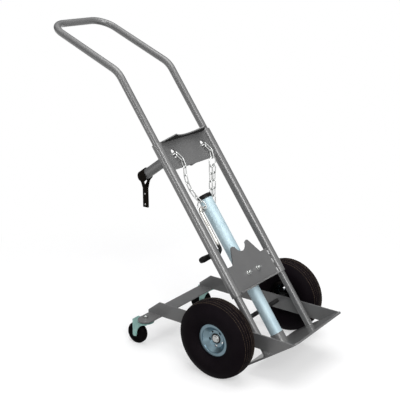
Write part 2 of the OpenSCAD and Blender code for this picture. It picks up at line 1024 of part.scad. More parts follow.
// Pressed fork: long round-ended head, two cheeks hollowed towards the wheel's axle
module fork(side) {
  head_r = race_r + 3;
  cheek_r = 9;
  hollow_r = fork_top - fork_web - castor_r;
  hollow_y = castor_trail - cheek_r - hollow_r;
  color("mediumaquamarine")
    on_castor(side)
      difference() {
        union() {
          translate([0, 0, fork_top - fork_t])
            cylinder(r = head_r, h = fork_t);
          translate([-fork_in - fork_t, 0, fork_top - fork_t])
            cube([2 * (fork_in + fork_t), castor_trail + cheek_r, fork_t]);
          for (end = [-1, 1])
            translate([end > 0 ? fork_in : -fork_in - fork_t, 0, 0])
              rotate([90, 0, 90])
                linear_extrude(fork_t)
                  polygon(concat(
                    [[hollow_y, fork_top]],
                    arc([hollow_y, castor_r], hollow_r, 90, 5),
                    arc([castor_trail, castor_r], cheek_r, 190, 360),
                    [[castor_trail + cheek_r, fork_top]]));
        }
        translate([0, 0, fork_top - 2 * fork_t])
          cylinder(r = castor_stem_r + run_gap, h = 3 * fork_t);
        translate([-castor_d / 2, castor_trail, castor_r])
          rotate([0, 90, 0])
            cylinder(r = castor_pin_r + seat_gap, h = castor_d);
      }
}

module castor_axle(side) {
  half = fork_in + fork_t + seat_gap;
  color("silver")
    on_castor(side)
      translate([-half, castor_trail, castor_r])
        rotate([0, 90, 0]) {
          cylinder(r = castor_pin_r, h = 2 * half);
          translate([0, 0, -3])
            cylinder(r = castor_pin_r + 3, h = 3);
          translate([0, 0, 2 * half])
            cylinder(r = castor_pin_r + 3, h = 3);
        }
}

module castor_wheel(side) {
  half = castor_w / 2;
  bore = castor_pin_r + run_gap;
  color("black")
    on_castor(side)
      translate([0, castor_trail, castor_r])
        rotate([0, 90, 0])
          rotate_extrude()
            polygon(concat(
              [[bore, -half - 1.2], [10, -half - 1.2], [12, -half + 3], [castor_r - 12, -half + 3]],
              [[castor_r - 9, -half], [castor_r - 3, -half + 1], [castor_r, -half + 6]],
              [[castor_r, half - 6], [castor_r - 3, half - 1], [castor_r - 9, half]],
              [[castor_r - 12, half - 3], [12, half - 3], [10, half + 1.2], [bore, half + 1.2]]));
}

// Middle of the strap's loop on the left peg
module on_strap() {
  on_frame()
    translate([-leg_x, peg_reach - strap_w / 2 - 2, peg_z])
      children();
}

module strap() {
  in_r = peg_r + body_gap;
  out_r = in_r + strap_t;
  fall = 12;
  color("black")
    on_strap()
      difference() {
        union() {
          translate([0, -strap_w / 2, 0])
            rotate([-90, 0, 0])
              cylinder(r = out_r, h = strap_w);
          rotate([lean, 0, 0])
            translate([0, tail_w / 2, 0])
              rotate([90, 0, 0])
                linear_extrude(tail_w)
                  polygon([
                    [-out_r, 0], [-out_r, -fall], [-strap_t, -strap_meet], [-strap_t, -strap_len],
                    [strap_t, -strap_len], [strap_t, -strap_meet], [out_r, -fall], [out_r, 0],
                    [in_r, 0], [in_r, -fall], [0, 2 - strap_meet], [-in_r, -fall], [-in_r, 0]]);
        }
        translate([0, -strap_reach(), 0])
          rotate([-90, 0, 0])
            cylinder(r = in_r, h = 2 * strap_reach());
      }
}

function strap_reach() = strap_w + strap_len;

module strap_rivets() {
  head_r = 3.2;
  head_t = 1.5;
  color("silver")
    on_strap()
      rotate([lean, 0, 0])
        for (z = [strap_meet + 16, strap_len - 10], end = [-1, 1])
          translate([end * strap_t, 0, -z])
            rotate([0, end * 90, 0])
              cylinder(r1 = head_r, r2 = head_r - 1, h = head_t);
}

leg(-1);  // leg_left
leg(1);  // leg_right
handle_bends();
handle_hoop();
toe_plate();
arm(-1);  // arm_left
arm(1);  // arm_right
rear_plate();
axle();
axle_spacers();
axle_caps();
jack_socket();
jack_inner_tube();
jack_nut();
castor_bolts();
castor_races();
sleeve(-1);  // sleeve_left
sleeve(1);  // sleeve_right
guide_bushes();
upper_plate();
lower_plate();
peg(-1);  // peg_left
peg(1);  // peg_right
peg_plugs();
jack_outer_tube();
jack_cap();
jack_saddle();
u_bolt();
u_bolt_nuts();
crank_boss();
chain_anchors();
chain_left();
chain_right();
jack_spindle();
crank_rod();
crank_grip();
tyre(-1);  // tyre_left
rim(-1);  // rim_left
hub(-1);  // hub_left
bearings(-1);  // bearings_left
tyre(1);  // tyre_right
rim(1);  // rim_right
hub(1);  // hub_right
bearings(1);  // bearings_right
fork(-1);  // fork_left
castor_axle(-1);  // castor_axle_left
castor_wheel(-1);  // castor_wheel_left
fork(1);  // fork_right
castor_axle(1);  // castor_axle_right
castor_wheel(1);  // castor_wheel_right
strap();
strap_rivets();
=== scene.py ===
import json
import math

import bmesh
import bpy
from mathutils import Matrix, Vector


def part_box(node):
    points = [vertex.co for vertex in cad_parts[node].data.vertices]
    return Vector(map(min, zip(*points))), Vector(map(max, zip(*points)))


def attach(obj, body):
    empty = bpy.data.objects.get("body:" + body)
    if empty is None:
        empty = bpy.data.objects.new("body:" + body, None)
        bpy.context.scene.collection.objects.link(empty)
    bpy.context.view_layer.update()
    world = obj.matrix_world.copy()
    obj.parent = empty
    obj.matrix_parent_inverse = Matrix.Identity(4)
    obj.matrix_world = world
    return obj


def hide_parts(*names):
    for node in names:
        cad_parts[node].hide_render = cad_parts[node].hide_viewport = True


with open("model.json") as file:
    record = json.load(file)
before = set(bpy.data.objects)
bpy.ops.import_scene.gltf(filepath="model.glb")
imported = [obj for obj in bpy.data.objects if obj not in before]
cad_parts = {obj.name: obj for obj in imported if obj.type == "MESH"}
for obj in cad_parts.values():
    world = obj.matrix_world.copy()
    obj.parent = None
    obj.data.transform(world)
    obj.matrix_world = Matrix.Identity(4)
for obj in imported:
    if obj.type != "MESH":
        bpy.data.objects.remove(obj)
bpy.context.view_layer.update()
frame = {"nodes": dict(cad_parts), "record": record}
scene = bpy.context.scene

X, Y, Z = range(3)


def span(name, axis):
    """A node's lowest and highest place along an axis, at rest."""
    low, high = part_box(name)
    return low[axis], high[axis]


def mid_of(ends):
    """The middle between two places."""
    return (ends[0] + ends[1]) / 2


def half_of(ends):
    """Half the distance between two places."""
    return (ends[1] - ends[0]) / 2


# Sizes of the trolley in metres, read from the frame
LEG_X = mid_of(span("leg_right", X))
LEG_R = half_of(span("leg_right", X))
SLEEVE_R = half_of(span("sleeve_right", X))
PEG_R = half_of(span("peg_right", X))
ARM_IN, ARM_OUT = span("arm_right", X)
REAR_PLATE_FRONT, REAR_PLATE_BACK = span("rear_plate", Y)
REAR_PLATE_TOP = span("rear_plate", Z)[1]
JACK_SOCKET_R = half_of(span("jack_socket", X))
WHEEL_X = mid_of(span("rim_right", X))
AXLE_Y = mid_of(span("axle", Y))
# The axle lies as high above the floor as a wheel's radius
WHEEL_R = mid_of(span("axle", Z))

# Places in the leaning frame, as the CAD part has them
PLATE_T = 0.004
LOWER_PLATE = (0.147, 0.237)
UPPER_PLATE = (0.599, 0.694)
PEG_ALONG = 0.636
PEG_REACH = 0.124
TOE_TOP = -0.06033
ARM_ON_TOE = (0.086, 0.118)
JACK_BACK = 0.035
CRANK_BEND = 0.330
CRANK_FADE = 0.014

# The leaning frame: its origin lies ahead of the axle, and its last axis runs up the legs
LEAN = math.radians(35.4)
FRAME_AHEAD = 0.103
FRAME_ORIGIN = Vector((0, AXLE_Y - FRAME_AHEAD, WHEEL_R))
FRAME_AXES = Matrix.Rotation(-LEAN, 3, "X")
ACROSS = Vector((1, 0, 0))
LEVEL_BACK = Vector((0, 1, 0))
UP = Vector((0, 0, 1))
OUT_OF_BACK = FRAME_AXES @ LEVEL_BACK
UP_LEGS = FRAME_AXES @ UP

# Tyre: the tread drops by TREAD_CROWN times the square of the distance from its middle
TYRE_HALF = 0.042
TREAD_GROOVES = (0.0045, 0.0140, 0.0232)
TREAD_CROWN = 7.0
TREAD_DEEPEST = 0.010
TREAD_TEETH = 112
GROOVE_HALF = 0.0015
GROOVE_DEPTH = 0.0042
ZIGZAG = 0.0007
SHOULDER_PULL = 0.017
SHOULDER_STEPS = 6
WALL_TOP = math.radians(30)
WALL_FOOT = math.radians(-51)
WALL_STEPS = 9
BEAD = (0.0545, 0.0240)

# Strap: a wide loop round the left peg, two narrow legs and a doubled tail
STRAP_T = 0.0034
STRAP_LOOP_HALF = 0.0165
STRAP_WAIST_HALF = 0.0062
STRAP_TAIL_HALF = 0.0105
STRAP_EDGE = 0.0006
STRAP_INSET = 0.002
STRAP_PLAY = 0.0004
STRAP_SHRINK = 0.97
STRAP_BOW = 0.004
STRAP_MEET = 0.044
STRAP_END = 0.111
STRAP_LEAVE = math.radians(-12)
LEG_TAPER = 0.4
LEG_FLARE = 0.55
TAIL_STEPS = 7
LEG_STEPS = 8
LOOP_STEPS = 28

# Welds: a bead's middle lies a little off the corner that it fills, and its size ripples
WELD_R = 0.0019
WELD_STEP = 0.0011
WELD_SIDES = 7
WELD_END = 0.35
WELD_LIFT = 0.0006
WELD_BACK_LIFT = 0.0004
WELD_ARM_LIFT = 0.0005
WELD_PEG_LIFT = 0.0002
REAR_WELD_START = 0.001
REAR_WELD_END = 0.003
RIPPLE = 0.12
RIPPLE_TURN = 2.1
RIPPLE_DRIFT = 0.37
STITCHES = (0.157, 0.190, 0.221)
STITCH_HALF = 0.008
STITCH_R = 0.0026
STITCH_LIFT = 0.0008
LEG_WELD_STEPS = 40
PEG_WELD_STEPS = 48
SOCKET_WELD_STEPS = 48

MERGE = 1e-6


def on_frame(x, back, along):
    """A point in the leaning frame's axes: across, out of the back, up along the legs."""
    return FRAME_ORIGIN + FRAME_AXES @ Vector((x, back, along))


def place_at(point, x_way, y_way, z_way):
    """The matrix that carries the three axes to these ways, at a point."""
    return Matrix.Translation(point) @ Matrix((x_way, y_way, z_way)).transposed().to_4x4()


# Helpers for shader nodes
NOISE_ROUGH = 0.55


def node(tree, kind, **settings):
    """A new node with these settings."""
    made = tree.nodes.new(kind)
    for key, value in settings.items():
        setattr(made, key, value)
    return made


def feed(tree, value, socket):
    """Gives a socket a link, a colour or a number."""
    if isinstance(value, (int, float, Vector)):
        socket.default_value = value
    elif isinstance(value, tuple):
        socket.default_value = (*value, 1.0)
    else:
        tree.links.new(value, socket)


def group(name, inputs, outputs):
    """An empty node group with number inputs and these outputs."""
    made = bpy.data.node_groups.new(name, "ShaderNodeTree")
    for label, value in inputs.items():
        socket = made.interface.new_socket(label, in_out="INPUT", socket_type="NodeSocketFloat")
        socket.default_value = value
    for label, kind in outputs.items():
        made.interface.new_socket(label, in_out="OUTPUT", socket_type=kind)
    return made, made.nodes.new("NodeGroupInput").outputs, made.nodes.new("NodeGroupOutput").inputs


def place_in(tree, effect, **values):
    """Puts an effect's group into a material with its own values."""
    made = node(tree, "ShaderNodeGroup", node_tree=effect)
    for key, value in values.items():
        made.inputs[key.replace("_", " ").title()].default_value = value
    return made.outputs


def calc(tree, operation, *values, clamp=False):
    """One step of arithmetic on links or numbers."""
    made = node(tree, "ShaderNodeMath", operation=operation, use_clamp=clamp)
    for socket, value in zip(made.inputs, values):
        feed(tree, value, socket)
    return made.outputs[0]


def dot(tree, vector, way):
    """How far a vector goes along a way."""
    made = node(tree, "ShaderNodeVectorMath", operation="DOT_PRODUCT")
    feed(tree, vector, made.inputs[0])
    feed(tree, way, made.inputs[1])
    return made.outputs["Value"]


def split(tree, vector):
    """A vector's X, Y and Z."""
    made = node(tree, "ShaderNodeSeparateXYZ")
    feed(tree, vector, made.inputs[0])
    return made.outputs


def ramp(tree, value, low, high):
    """A smooth mask, 0 at low and 1 at high."""
    made = node(tree, "ShaderNodeMapRange", interpolation_type="SMOOTHSTEP")
    feed(tree, value, made.inputs["Value"])
    feed(tree, low, made.inputs["From Min"])
    feed(tree, high, made.inputs["From Max"])
    return made.outputs["Result"]


def noise(tree, vector, scale, detail=3.0):
    """Soft random patches, about a unit over scale in size."""
    made = node(tree, "ShaderNodeTexNoise")
    feed(tree, vector, made.inputs["Vector"])
    feed(tree, scale, made.inputs["Scale"])
    feed(tree, detail, made.inputs["Detail"])
    feed(tree, NOISE_ROUGH, made.inputs["Roughness"])
    return made.outputs["Fac"]


def mix(tree, factor, first, second):
    """Two colours mixed by a mask."""
    made = node(tree, "ShaderNodeMix", data_type="RGBA")
    sockets = {socket.identifier: socket for socket in made.inputs}
    feed(tree, factor, sockets["Factor_Float"])
    feed(tree, first, sockets["A_Color"])
    feed(tree, second, sockets["B_Color"])
    return next(socket for socket in made.outputs if socket.identifier == "Result_Color")


def on_piece(tree):
    """The place on a piece, in metres."""
    return node(tree, "ShaderNodeTexCoord").outputs["Object"]


def facing(tree):
    """The way that a face looks."""
    return node(tree, "ShaderNodeNewGeometry").outputs["Normal"]


# Effects that several finishes share
EDGE_TURN = (0.02, 0.2)
EDGE_BREAK = (0.42, 0.62)
EDGE_BREAK_SCALE = 60.0
DUST_UP = (0.1, 1.0)
DUST_PATCH = (0.35, 0.75)
DUST_SCALE = 25.0


def make_grain():
    """Slow mottling and fine grain on the piece's own coordinates."""
    effect, given, put = group("surface_grain", {"Mottle Scale": 14.0, "Grain Scale": 900.0},
        {"Mottle": "NodeSocketFloat", "Grain": "NodeSocketFloat"})
    at = on_piece(effect)
    feed(effect, noise(effect, at, given["Mottle Scale"], detail=5.0), put["Mottle"])
    feed(effect, noise(effect, at, given["Grain Scale"], detail=2.0), put["Grain"])
    return effect


def make_edges():
    """Rounded normal at sharp edges, and a broken mask along them."""
    effect, given, put = group("edge_round", {"Radius": 0.0008},
        {"Normal": "NodeSocketVector", "Edge": "NodeSocketFloat"})
    bevel = node(effect, "ShaderNodeBevel", samples=4)
    feed(effect, given["Radius"], bevel.inputs["Radius"])
    kept = dot(effect, bevel.outputs["Normal"], facing(effect))
    turned = calc(effect, "SUBTRACT", 1.0, kept, clamp=True)
    broken = ramp(effect, noise(effect, on_piece(effect), EDGE_BREAK_SCALE, detail=4.0), *EDGE_BREAK)
    feed(effect, calc(effect, "MULTIPLY", ramp(effect, turned, *EDGE_TURN), broken), put["Edge"])
    feed(effect, bevel.outputs["Normal"], put["Normal"])
    return effect


def make_dust():
    """Mask of fine dust on faces that look up."""
    effect, given, put = group("dust_settle", {"Amount": 0.15}, {"Dust": "NodeSocketFloat"})
    up = ramp(effect, split(effect, facing(effect))["Z"], *DUST_UP)
    patch = ramp(effect, noise(effect, on_piece(effect), DUST_SCALE, detail=5.0), *DUST_PATCH)
    settled = calc(effect, "MULTIPLY", up, patch)
    feed(effect, calc(effect, "MULTIPLY", settled, given["Amount"]), put["Dust"])
    return effect


GRAIN = make_grain()
EDGES = make_edges()
DUST = make_dust()

# Colours of dust with painted highlight on the tread and of painted shade on the rims, crank and flange,
# and values that every finish shares
DUST_GREY = (0.34, 0.33, 0.31)
TREAD_DUST_AND_SHEEN = (0.070, 0.051, 0.037)
RIM_SHADE = (0.020, 0.018, 0.017)
CRANK_SHADE_BLACK = (0.012, 0.012, 0.012)
SHADE_BLACK = (0.006, 0.006, 0.006)
MOTTLE_SPAN = (0.3, 0.7)
GRAIN_DEPTH = 0.0004
COAT_ROUGH = 0.24

# Where the tread's dust with painted highlight and the painted shade start and where they are full
TREAD_SHEEN_HALF = (0.0012, 0.0005)
TREAD_SHEEN_DEPTH = (0.0026, 0.0010)
TREAD_SHEEN_PATCH = (0.20, 0.60)
TREAD_SHEEN_SCALE = 60.0
RIM_SHADE_INSIDE = (0.004, 0.012)
RIM_TURNED_IN = (-0.1, -0.4)
FLANGE_TURNED_DOWN = (0.15, 0.5)


def material(name, dark, light, rough, metallic=0.0, rough_span=0.08, mottle=14.0, grain=900.0,
             bump=0.0, round_r=0.0, wear=None, dust=0.0, specular=0.5, coat=0.0):
    """Procedural finish: two close colours mottled, grain in bump and roughness, rounded edges."""
    finish = bpy.data.materials.new(name)
    finish.use_nodes = True
    tree = finish.node_tree
    shader = tree.nodes["Principled BSDF"].inputs
    feed(tree, metallic, shader["Metallic"])
    feed(tree, specular, shader["Specular IOR Level"])
    feed(tree, coat, shader["Coat Weight"])
    feed(tree, COAT_ROUGH, shader["Coat Roughness"])
    surface = place_in(tree, GRAIN, mottle_scale=mottle, grain_scale=grain)
    colour = mix(tree, ramp(tree, surface["Mottle"], *MOTTLE_SPAN), dark, light)
    smoothest = rough - rough_span / 2
    feed(tree, calc(tree, "MULTIPLY_ADD", surface["Mottle"], rough_span, smoothest), shader["Roughness"])
    normal = None
    if round_r:
        edges = place_in(tree, EDGES, radius=round_r)
        normal = edges["Normal"]
        if wear:
            colour = mix(tree, edges["Edge"], colour, wear)
    if dust:
        colour = mix(tree, place_in(tree, DUST, amount=dust)["Dust"], colour, DUST_GREY)
    if bump:
        relief = node(tree, "ShaderNodeBump")
        feed(tree, bump, relief.inputs["Strength"])
        feed(tree, GRAIN_DEPTH, relief.inputs["Distance"])
        feed(tree, surface["Grain"], relief.inputs["Height"])
        if normal:
            feed(tree, normal, relief.inputs["Normal"])
        normal = relief.outputs["Normal"]
    feed(tree, colour, shader["Base Color"])
    if normal:
        feed(tree, normal, shader["Normal"])
    return finish


def recolour(finish, mask, colour):
    """Lays one more colour over a finish, where a mask says."""
    tree = finish.node_tree
    base = tree.nodes["Principled BSDF"].inputs["Base Color"]
    feed(tree, mix(tree, mask, base.links[0].from_socket, colour), base)


# Finishes

def gloss_paint(name, dark, light, **more):
    """Glossy grey paint of the frame."""
    return material(name, dark, light, rough=0.42, mottle=9.0, grain=500.0, dust=0.06, specular=0.4,
        coat=1.0, **more)


def plate_paint(name):
    """The frame's paint on plates, worn at their edges."""
    return gloss_paint(name, (0.116, 0.116, 0.116), (0.132, 0.132, 0.131), bump=0.02, round_r=0.0012,
        wear=(0.21, 0.21, 0.21))


PAINT = plate_paint("grey_gloss_paint")
# The upper plate's paint, which gets painted shade on its flange's underside below
FLANGE_PAINT = plate_paint("grey_plate_paint")
TUBE_PAINT = gloss_paint("grey_gloss_tube_paint", (0.110, 0.110, 0.110), (0.125, 0.125, 0.124))
# The stitches' paler grey than the frame's paint is a painted highlight for their glints
WELD = material("stitch_weld_painted_highlight", (0.42, 0.42, 0.42), (0.60, 0.60, 0.60), rough=0.28,
    mottle=120.0, grain=1400.0, bump=0.10, specular=0.6, coat=0.5)
STEEL = material("turned_steel", (0.30, 0.30, 0.30), (0.42, 0.42, 0.41), rough=0.34, metallic=0.9,
    mottle=40.0, grain=1200.0, bump=0.12, round_r=0.0005)
DARK_STEEL = material("dark_oiled_steel", (0.030, 0.030, 0.031), (0.060, 0.059, 0.058), rough=0.42,
    metallic=0.6, mottle=40.0, bump=0.1, round_r=0.0005)
ZINC = material("bright_zinc", (0.60, 0.61, 0.60), (0.76, 0.77, 0.76), rough=0.25, metallic=1.0,
    rough_span=0.14, mottle=55.0, grain=1500.0, bump=0.10, round_r=0.0006)
CRANK_STEEL = material("crank_rod", (0.36, 0.35, 0.33), (0.50, 0.49, 0.46), rough=0.33, metallic=0.9,
    rough_span=0.14, mottle=45.0, grain=1500.0, bump=0.08, round_r=0.0005)
ZINC_TUBE = material("blue_zinc_tube", (0.46, 0.60, 0.66), (0.54, 0.68, 0.73), rough=0.56,
    metallic=0.30, rough_span=0.12, mottle=30.0, grain=1500.0)
ZINC_RIM = material("zinc_rim", (0.25, 0.36, 0.42), (0.31, 0.43, 0.49), rough=0.28, metallic=1.0,
    rough_span=0.06, mottle=28.0, grain=1500.0, bump=0.04, round_r=0.0016)
ZINC_TEAL = material("teal_passivated_zinc", (0.29, 0.50, 0.46), (0.42, 0.66, 0.61), rough=0.36,
    metallic=0.65, rough_span=0.14, mottle=60.0, grain=1500.0, bump=0.10, round_r=0.0007)
BRONZE = material("machined_bronze", (0.36, 0.23, 0.10), (0.46, 0.31, 0.14), rough=0.35, metallic=1.0,
    mottle=40.0, bump=0.1, round_r=0.0004)
PLASTIC = material("black_moulded_plastic", (0.0050, 0.0048, 0.0046), (0.0095, 0.0092, 0.0090),
    rough=0.48, mottle=20.0, grain=1800.0, bump=0.25, round_r=0.0010, specular=0.12)
RUBBER = material("tyre_rubber", (0.0030, 0.0016, 0.0028), (0.0048, 0.0030, 0.0044), rough=0.66,
    mottle=22.0, grain=900.0, bump=0.30, specular=0.06)
CASTOR_RUBBER = material("castor_rubber", (0.0018, 0.0015, 0.0016), (0.0036, 0.0031, 0.0033),
    rough=0.60, mottle=35.0, grain=1400.0, bump=0.20, round_r=0.0008, specular=0.04)
SEAL = material("bearing_seal", (0.0060, 0.0066, 0.0068), (0.0120, 0.0130, 0.0132), rough=0.50,
    mottle=60.0, grain=1400.0, bump=0.10, specular=0.2)
LEATHER = material("black_strap", (0.0036, 0.0023, 0.0014), (0.0066, 0.0046, 0.0031), rough=0.62,
    mottle=60.0, grain=700.0, bump=0.5, specular=0.05)


def tread_crown(aside):
    """Distance of the tread from the axle, at a distance from the tyre's middle."""
    return WHEEL_R - TREAD_CROWN * aside ** 2


def paint_rib_sheen_and_dust(finish):
    """Pale brownish colour in patches along the outer edges of the tread's grooves: dust, with a painted
    highlight on the ribs.
    """
    tree = finish.node_tree
    at = on_piece(tree)
    place = split(tree, at)
    y = calc(tree, "SUBTRACT", place["Y"], AXLE_Y)
    z = calc(tree, "SUBTRACT", place["Z"], WHEEL_R)
    squares = calc(tree, "ADD", calc(tree, "MULTIPLY", y, y), calc(tree, "MULTIPLY", z, z))
    far = calc(tree, "SQRT", squares)
    across = calc(tree, "ABSOLUTE", place["X"])
    aside = calc(tree, "ABSOLUTE", calc(tree, "SUBTRACT", across, WHEEL_X))
    patch = ramp(tree, noise(tree, at, TREAD_SHEEN_SCALE, detail=4.0), *TREAD_SHEEN_PATCH)
    low, high = TREAD_SHEEN_DEPTH
    for groove in TREAD_GROOVES:
        crown = tread_crown(groove)
        crest = ramp(tree, far, crown - low, crown - high)
        off = calc(tree, "ABSOLUTE", calc(tree, "SUBTRACT", aside, groove + GROOVE_HALF))
        line = ramp(tree, off, *TREAD_SHEEN_HALF)
        sheen_patch = calc(tree, "MULTIPLY", crest, patch)
        recolour(finish, calc(tree, "MULTIPLY", line, sheen_patch), TREAD_DUST_AND_SHEEN)


def darken_inside(finish):
    """Painted shade on the rims' inner sides, which face the frame."""
    tree = finish.node_tree
    x = split(tree, on_piece(tree))["X"]
    outward = calc(tree, "MULTIPLY", calc(tree, "SIGN", x), split(tree, facing(tree))["X"])
    inside = calc(tree, "SUBTRACT", WHEEL_X, calc(tree, "ABSOLUTE", x))
    turned_in = ramp(tree, outward, *RIM_TURNED_IN)
    deep = ramp(tree, inside, *RIM_SHADE_INSIDE)
    recolour(finish, calc(tree, "MAXIMUM", turned_in, deep), RIM_SHADE)


def blacken_bend(finish):
    """Painted shade: black on the crank's lower bend and below it."""
    tree = finish.node_tree
    bend = FRAME_ORIGIN.dot(UP_LEGS) + CRANK_BEND
    along = dot(tree, on_piece(tree), UP_LEGS)
    recolour(finish, ramp(tree, along, bend, bend - CRANK_FADE), CRANK_SHADE_BLACK)


def blacken_underside(finish):
    """Painted shade, nearly black and dull, where the upper plate's flange looks down the legs."""
    tree = finish.node_tree
    shader = tree.nodes["Principled BSDF"].inputs
    black = ramp(tree, dot(tree, facing(tree), -UP_LEGS), *FLANGE_TURNED_DOWN)
    recolour(finish, black, SHADE_BLACK)
    feed(tree, calc(tree, "SUBTRACT", 1.0, black), shader["Coat Weight"])
    rough = shader["Roughness"].links[0].from_socket
    feed(tree, calc(tree, "MAXIMUM", black, rough), shader["Roughness"])


# Painted highlight with dust on the tread; painted shade on the rims' inner sides, the crank's bend and
# the flange's underside
paint_rib_sheen_and_dust(RUBBER)
darken_inside(ZINC_RIM)
blacken_bend(CRANK_STEEL)
blacken_underside(FLANGE_PAINT)

# A node takes its own finish, then that of the family its name starts with, then its slot's
NODE_FINISH = {
    "upper_plate": FLANGE_PAINT,
    "peg_left": TUBE_PAINT,
    "peg_right": TUBE_PAINT,
    "jack_outer_tube": ZINC_TUBE,
    "jack_inner_tube": ZINC_TUBE,
    "crank_rod": CRANK_STEEL,
    "axle": DARK_STEEL,
    "axle_spacers": DARK_STEEL,
    "axle_caps": ZINC,
    "strap_rivets": STEEL,
}
FAMILY_FINISH = {
    "leg_": TUBE_PAINT,
    "handle_": TUBE_PAINT,
    "sleeve_": TUBE_PAINT,
    "rim_": ZINC_RIM,
    "hub_": ZINC_RIM,
    "bearings_": SEAL,
    "castor_axle_": ZINC_TEAL,
}
SLOT_FINISH = {
    "frame_paint": PAINT,
    "steel": STEEL,
    "zinc": ZINC,
    "zinc_blue": ZINC_TEAL,
    "bronze": BRONZE,
    "black_plastic": PLASTIC,
    "tyre": RUBBER,
    "castor_rubber": CASTOR_RUBBER,
    "strap_leather": LEATHER,
}


def finish_of(name, slot):
    """The finish of a node."""
    if name in NODE_FINISH:
        return NODE_FINISH[name]
    for start, finish in FAMILY_FINISH.items():
        if name.startswith(start):
            return finish
    return SLOT_FINISH[slot]


for part in frame["record"]["subparts"]:
    finishes = frame["nodes"][part["node"]].data.materials
    finishes.clear()
    finishes.append(finish_of(part["node"], part["material_slot"]))


# New pieces

def finish_mesh(name, bm, finish, body, angle):
    """Closes a mesh into a piece on its body, smooth where faces meet at less than an angle."""
    bmesh.ops.remove_doubles(bm, verts=bm.verts, dist=MERGE)
    bmesh.ops.recalc_face_normals(bm, faces=bm.faces)
    for face in bm.faces:
        face.smooth = True
    limit = math.radians(angle)
    for edge in bm.edges:
        edge.smooth = len(edge.link_faces) == 2 and edge.calc_face_angle(0.0) < limit
    mesh = bpy.data.meshes.new(name)
    bm.to_mesh(mesh)
    bm.free()
    mesh.materials.append(finish)
    piece = bpy.data.objects.new(name, mesh)
    scene.collection.objects.link(piece)
    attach(piece, body)
    return piece


def closed_ring(bm, points):
    """A ring of vertices and its edges."""
    verts = [bm.verts.new(point) for point in points]
    edges = [bm.edges.new(pair) for pair in zip(verts, verts[1:] + verts[:1])]
    return verts, edges


def sweep(bm, verts, edges, places):
    """Draws a ring through a run of places and caps both ends."""
    bmesh.ops.edgeloop_fill(bm, edges=edges)
    bmesh.ops.transform(bm, matrix=places[0], verts=verts)
    for last, place in zip(places, places[1:]):
        grown = bmesh.ops.extrude_edge_only(bm, edges=edges)["geom"]
        verts = [item for item in grown if isinstance(item, bmesh.types.BMVert)]
        edges = [item for item in grown if isinstance(item, bmesh.types.BMEdge) and item.is_boundary]
        bmesh.ops.transform(bm, matrix=place @ last.inverted(), verts=verts)
    bmesh.ops.edgeloop_fill(bm, edges=edges)


def way_along(points, i):
    """The way that a run of points takes at one of them."""
    return (points[min(i + 1, len(points) - 1)] - points[max(i - 1, 0)]).normalized()


def square_to(vector, way):
    """The vector turned square to a way, of length 1."""
    return (vector - way * vector.dot(way)).normalized()


# Tyres

def tyre_section():
    """Half profile from the tread's middle to the bead: distance from the axle, from the middle."""
    tread = [(WHEEL_R, 0.0)]
    for groove in TREAD_GROOVES:
        crown = tread_crown(groove)
        floor = crown - GROOVE_DEPTH
        tread += [(crown, groove - GROOVE_HALF), (floor, groove - GROOVE_HALF / 2)]
        tread += [(floor, groove + GROOVE_HALF / 2), (crown, groove + GROOVE_HALF)]
    wall = []
    for i in range(WALL_STEPS + 1):
        a = WALL_TOP + (WALL_FOOT - WALL_TOP) * i / WALL_STEPS
        wall.append((WHEEL_R - TYRE_HALF + TYRE_HALF * math.sin(a), TYRE_HALF * math.cos(a)))
    start = Vector(tread[-1])
    end = Vector(wall[0])
    corner = end + Vector((math.cos(WALL_TOP), -math.sin(WALL_TOP))) * SHOULDER_PULL
    shoulder = []
    for i in range(1, SHOULDER_STEPS):
        t = i / SHOULDER_STEPS
        shoulder.append(tuple(start.lerp(corner, t).lerp(corner.lerp(end, t), t)))
    return tread + shoulder + wall + [BEAD]


def zigzag_grooves(bm):
    """Shifts the grooves' edges and floors to and fro along the tread."""
    for vert in bm.verts:
        y = vert.co.y - AXLE_Y
        z = vert.co.z - WHEEL_R
        aside = abs(abs(vert.co.x) - WHEEL_X)
        in_groove = any(abs(aside - groove) < GROOVE_HALF + MERGE for groove in TREAD_GROOVES)
        if in_groove and math.hypot(y, z) > WHEEL_R - TREAD_DEEPEST:
            tooth = math.atan2(y, z) / (2 * math.pi) * TREAD_TEETH
            vert.co.x += ZIGZAG * (4 * abs(tooth % 1 - 0.5) - 1)


def make_tyre(side_name, side):
    """A tyre spun round the axle, with a ribbed tread and zigzag grooves."""
    half = tyre_section()
    profile = [(r, -x) for r, x in reversed(half[1:])] + half
    bm = bmesh.new()
    verts, edges = closed_ring(bm, [(side * (WHEEL_X + x), AXLE_Y, WHEEL_R + r) for r, x in profile])
    bmesh.ops.spin(bm, geom=verts + edges, cent=(0, AXLE_Y, WHEEL_R), axis=(1, 0, 0),
        angle=2 * math.pi, steps=TREAD_TEETH * 2, use_merge=True)
    zigzag_grooves(bm)
    tyre = finish_mesh("tyre_tread_" + side_name, bm, RUBBER, "wheel_" + side_name, angle=35)
    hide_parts("tyre_" + side_name)


make_tyre("left", -1)
make_tyre("right", 1)


# Strap

def ease(t):
    """From 0 to 1 with a soft start and end."""
    t = min(max(t, 0.0), 1.0)
    return t * t * (3 - 2 * t)


def strap_leg_half(t):
    """Half width of a leg, from the tail at 0 over its waist to the loop at 1."""
    to_tail = (STRAP_TAIL_HALF - STRAP_WAIST_HALF) * ease(1 - t / LEG_TAPER)
    to_loop = (STRAP_LOOP_HALF - STRAP_WAIST_HALF) * ease((t - LEG_FLARE) / (1 - LEG_FLARE))
    return STRAP_WAIST_HALF + to_tail + to_loop


